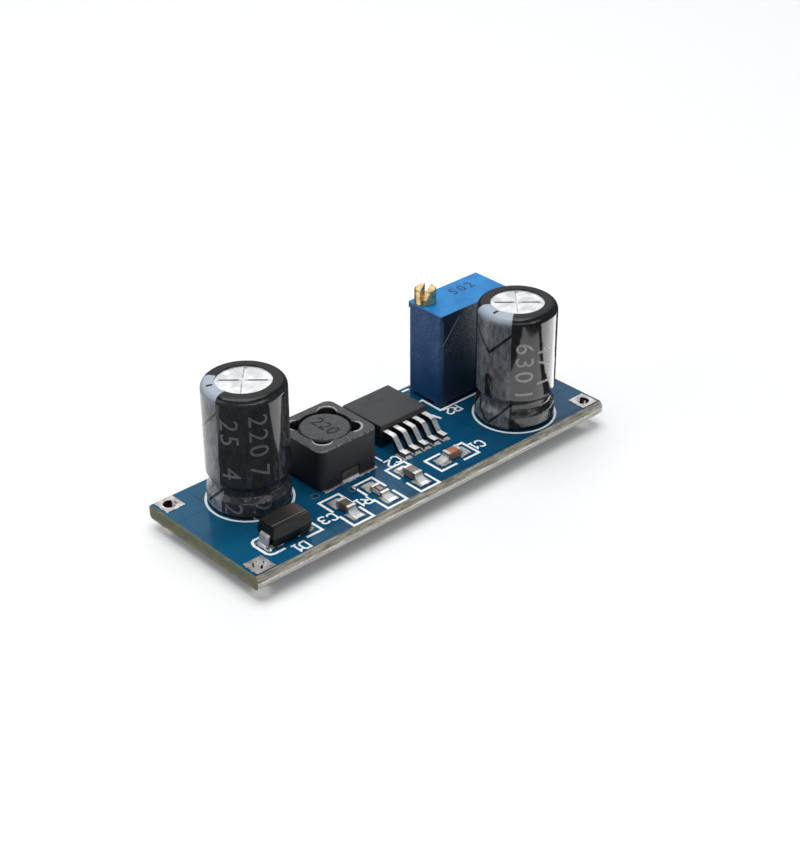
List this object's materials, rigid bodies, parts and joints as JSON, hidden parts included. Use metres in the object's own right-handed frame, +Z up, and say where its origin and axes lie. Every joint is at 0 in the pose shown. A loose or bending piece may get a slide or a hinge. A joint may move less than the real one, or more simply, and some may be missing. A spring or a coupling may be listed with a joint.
{
  "type": "buck converter module",
  "caption": "Small step-down converter board with two can capacitors, a shielded inductor, a regulator and a multi-turn trimmer.",
  "frame": {"origin": "middle of the board in plan, on the plane that the solder joints under the board rest on", "axes": "+X along the board from the output end to the input end, +Y across it towards the regulator's tab, +Z up off the component side"},
  "size_m": [0.045, 0.0166, 0.0154],
  "materials": {
    "solder_mask": "glossy blue solder mask over laminate",
    "tin": "tinned copper and solder",
    "can_metal": "satin drawn can",
    "sleeve": "black shrink film",
    "ferrite": "dark grey sintered ferrite",
    "copper": "enamelled copper",
    "resin": "black moulding compound",
    "ceramic_tan": "tan sintered ceramic",
    "ceramic_grey": "grey sintered ceramic",
    "alumina": "white alumina",
    "glaze": "black glass glaze",
    "blue_plastic": "blue moulded housing",
    "brass": "turned brass",
    "white_plastic": "white moulded rotor",
    "film": "printed resistive film",
    "silver_film": "printed conductor film",
    "spring_steel": "sprung contact alloy",
    "rubber": "seal ring rubber"
  },
  "bodies": {
    "module": {"board": "solder_mask", "terminal_output_minus": "tin", "terminal_output_plus": "tin", "terminal_input_plus": "tin", "terminal_input_minus": "tin", "lead_solder": "tin", "output_capacitor_can": "can_metal", "output_capacitor_sleeve": "sleeve", "output_capacitor_minus_lead": "tin", "output_capacitor_plus_lead": "tin", "input_capacitor_can": "can_metal", "input_capacitor_sleeve": "sleeve", "input_capacitor_minus_lead": "tin", "input_capacitor_plus_lead": "tin", "inductor_shield": "ferrite", "inductor_base": "resin", "inductor_core": "ferrite", "inductor_winding": "copper", "inductor_front_clip": "tin", "inductor_back_clip": "tin", "inductor_lands": "tin", "inductor_solder": "tin", "regulator_body": "resin", "regulator_tab": "tin", "regulator_leads": "tin", "regulator_lands": "tin", "regulator_solder": "tin", "diode_body": "resin", "diode_cathode_lead": "tin", "diode_anode_lead": "tin", "diode_lands": "tin", "diode_solder": "tin", "smoothing_chip_body": "ceramic_tan", "smoothing_chip_caps": "tin", "divider_chip_body": "alumina", "divider_chip_caps": "tin", "divider_chip_glaze": "glaze", "feedback_chip_body": "ceramic_grey", "feedback_chip_caps": "tin", "bypass_chip_body": "ceramic_tan", "bypass_chip_caps": "tin", "chip_lands": "tin", "chip_solder": "tin", "trimmer_housing": "blue_plastic", "trimmer_base": "white_plastic", "trimmer_retaining_clip": "spring_steel", "trimmer_element": "alumina", "trimmer_track": "film", "trimmer_conductors": "silver_film", "trimmer_left_pin": "tin", "trimmer_middle_pin": "tin", "trimmer_right_pin": "tin"},
    "adjusting_screw": {"trimmer_screw": "brass", "trimmer_seal_ring": "rubber"},
    "rotor": {"trimmer_rotor": "white_plastic", "trimmer_wiper": "spring_steel"}
  },
  "joints": [
    {"name": "adjusting_screw_turn", "type": "hinge", "parent": "module", "child": "adjusting_screw", "pos_m": [0.01068, 0.00573, 0.0138], "axis": [0, 0, 1], "continuous": true},
    {"name": "rotor_turn", "type": "hinge", "parent": "module", "child": "rotor", "pos_m": [0.01454, 0.00573, 0.00833], "axis": [0, 1, 0], "continuous": true}
  ],
  "couplings": [
    {"joint": "rotor_turn", "follows": "adjusting_screw_turn", "ratio": -0.033333}
  ]
}
